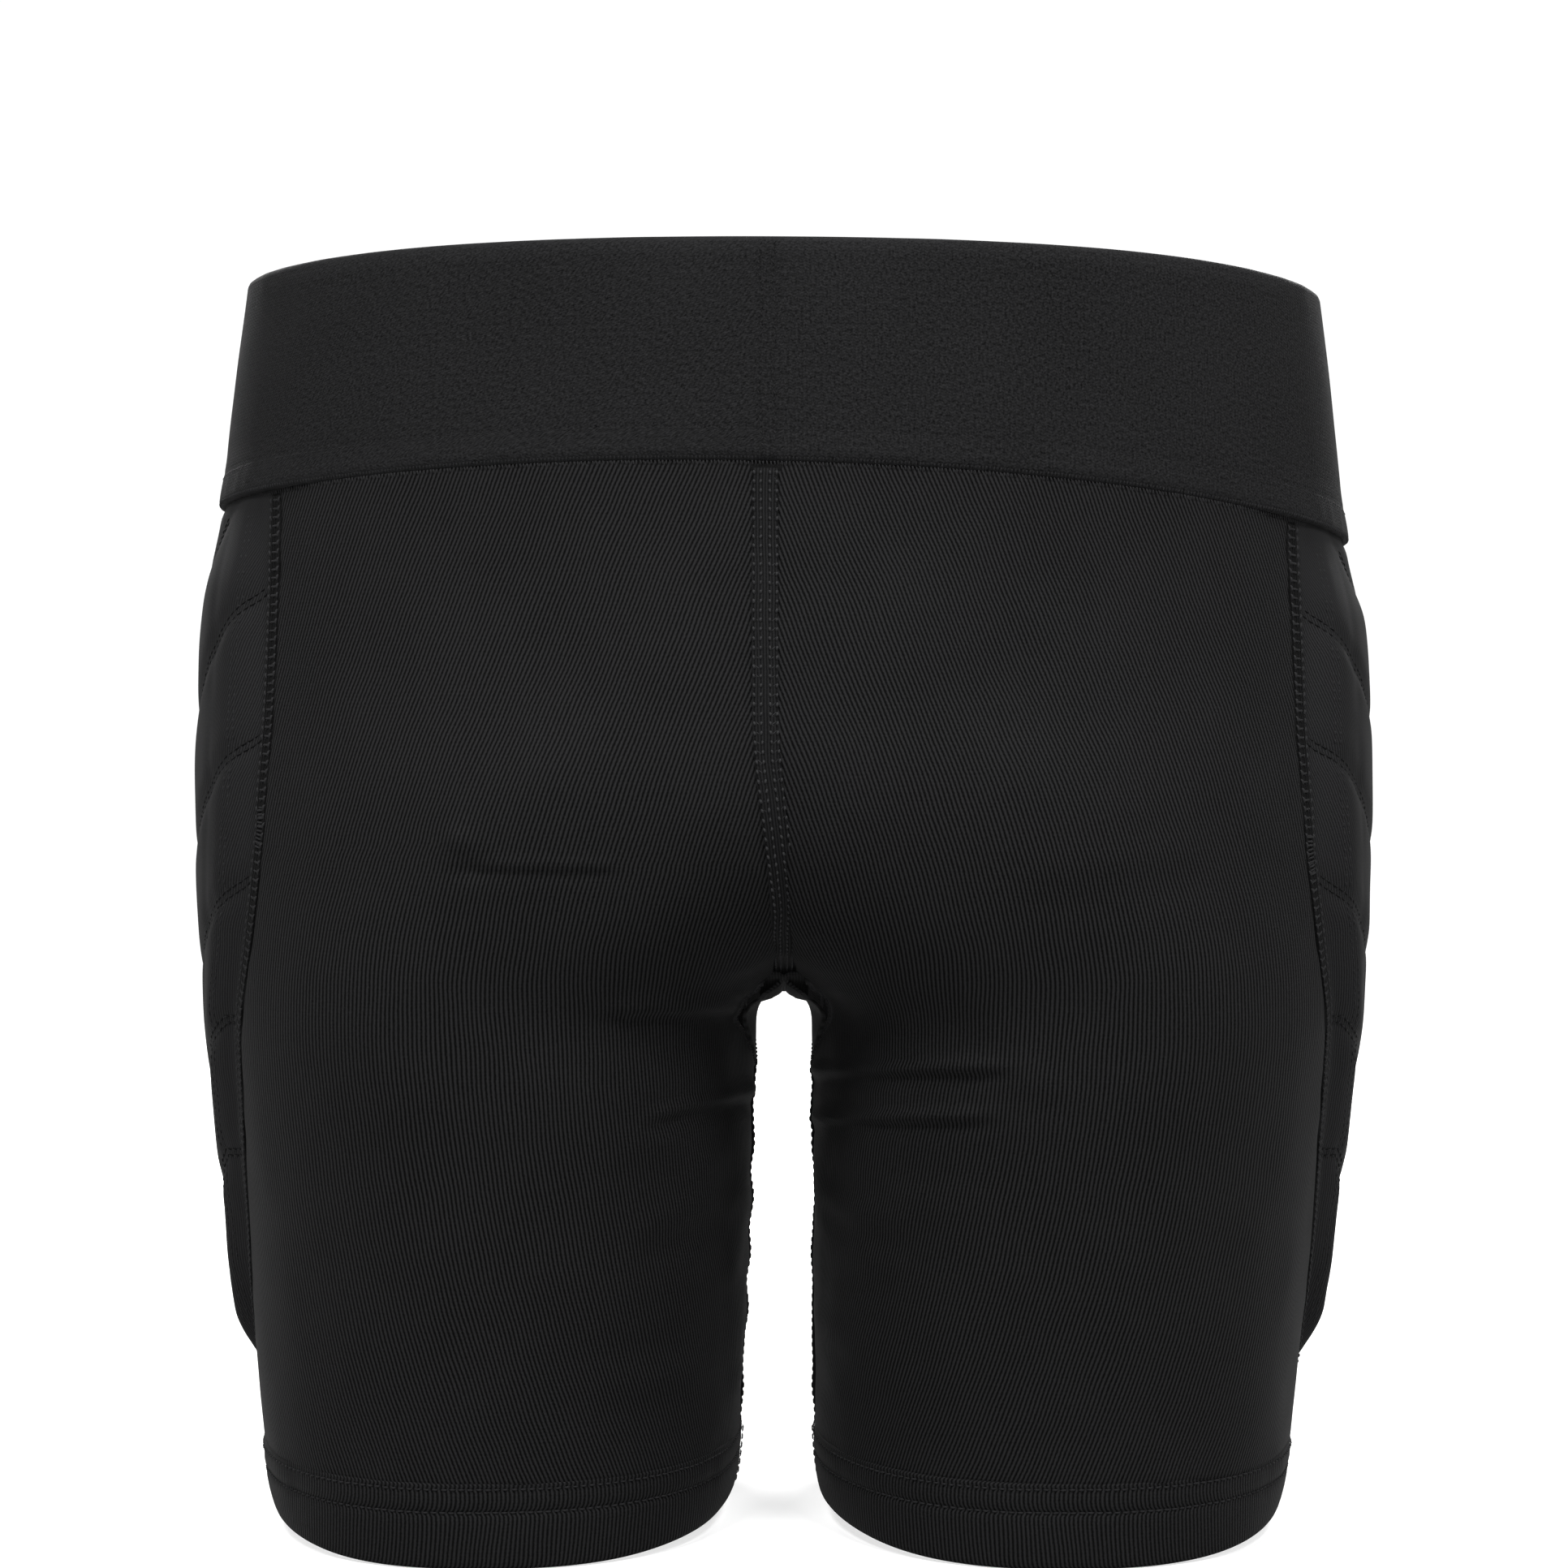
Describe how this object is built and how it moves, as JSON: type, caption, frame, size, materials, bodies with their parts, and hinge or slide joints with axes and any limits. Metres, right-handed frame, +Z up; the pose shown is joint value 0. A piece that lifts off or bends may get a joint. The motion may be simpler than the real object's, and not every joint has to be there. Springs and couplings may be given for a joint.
{
  "type": "padded impact shorts",
  "caption": "Close-fitting padded shorts with a wide elastic waistband, stitched hems and a chevron-quilted foam pad over each hip and thigh.",
  "frame": {"origin": "middle of the bottom of the bounding box: on the hem plane z = 0, midway between the sides and between front and back", "axes": "+Z up, wearer faces +Y, wearer's right is +X"},
  "size_m": [0.3752, 0.2328, 0.3922],
  "materials": {
    "elastic": "grainy ribbed elastic webbing, matt",
    "knit": "fine diagonal wale stretch knit, slight sheen",
    "cover": "quilted warp knit over foam, soft sheen",
    "lining": "thin mesh lining, matt",
    "foam": "closed-cell foam, matt",
    "thread": "flatlock and coverstitch thread",
    "label": "woven satin tape, blank"
  },
  "bodies": {
    "seat": {"waistband": "elastic", "waistband_join_seam": "thread", "waistband_topstitch": "thread", "waistband_attach_seam": "thread", "care_label": "label", "centre_back_seam": "thread", "centre_front_seam": "thread", "crotch_gusset": "knit", "gusset_seam": "thread", "left_back_panel": "knit", "left_front_panel": "knit", "left_side_cover": "cover", "left_pad_lining": "lining", "left_foam_1": "foam", "left_foam_2": "foam", "left_foam_3": "foam", "left_foam_4": "foam", "left_side_seam_back": "thread", "left_side_seam_front": "thread", "left_inseam_seam": "thread", "right_back_panel": "knit", "right_front_panel": "knit", "right_side_cover": "cover", "right_pad_lining": "lining", "right_foam_1": "foam", "right_foam_2": "foam", "right_foam_3": "foam", "right_foam_4": "foam", "right_side_seam_back": "thread", "right_side_seam_front": "thread", "right_inseam_seam": "thread"},
    "left_thigh": {"left_foam_5": "foam", "left_foam_6": "foam", "left_foam_7": "foam", "left_hem_band": "knit", "left_hem_stitch": "thread"},
    "right_thigh": {"right_foam_5": "foam", "right_foam_6": "foam", "right_foam_7": "foam", "right_hem_band": "knit", "right_hem_stitch": "thread"}
  },
  "joints": [
    {"name": "left_hip_flexion", "type": "hinge", "parent": "seat", "child": "left_thigh", "pos_m": [-0.093, 0.0026, 0.222], "axis": [1, 0, 0], "range_deg": [-15, 45], "stiffness_Nm_per_rad": 1, "deforming": ["left_back_panel", "left_front_panel", "left_side_cover", "left_pad_lining", "left_foam_3", "left_foam_4", "left_foam_5", "left_side_seam_back", "left_side_seam_front", "left_inseam_seam", "crotch_gusset", "gusset_seam"]},
    {"name": "right_hip_flexion", "type": "hinge", "parent": "seat", "child": "right_thigh", "pos_m": [0.093, 0.0026, 0.222], "axis": [1, 0, 0], "range_deg": [-15, 45], "stiffness_Nm_per_rad": 1, "deforming": ["right_back_panel", "right_front_panel", "right_side_cover", "right_pad_lining", "right_foam_3", "right_foam_4", "right_foam_5", "right_side_seam_back", "right_side_seam_front", "right_inseam_seam", "crotch_gusset", "gusset_seam"]}
  ]
}
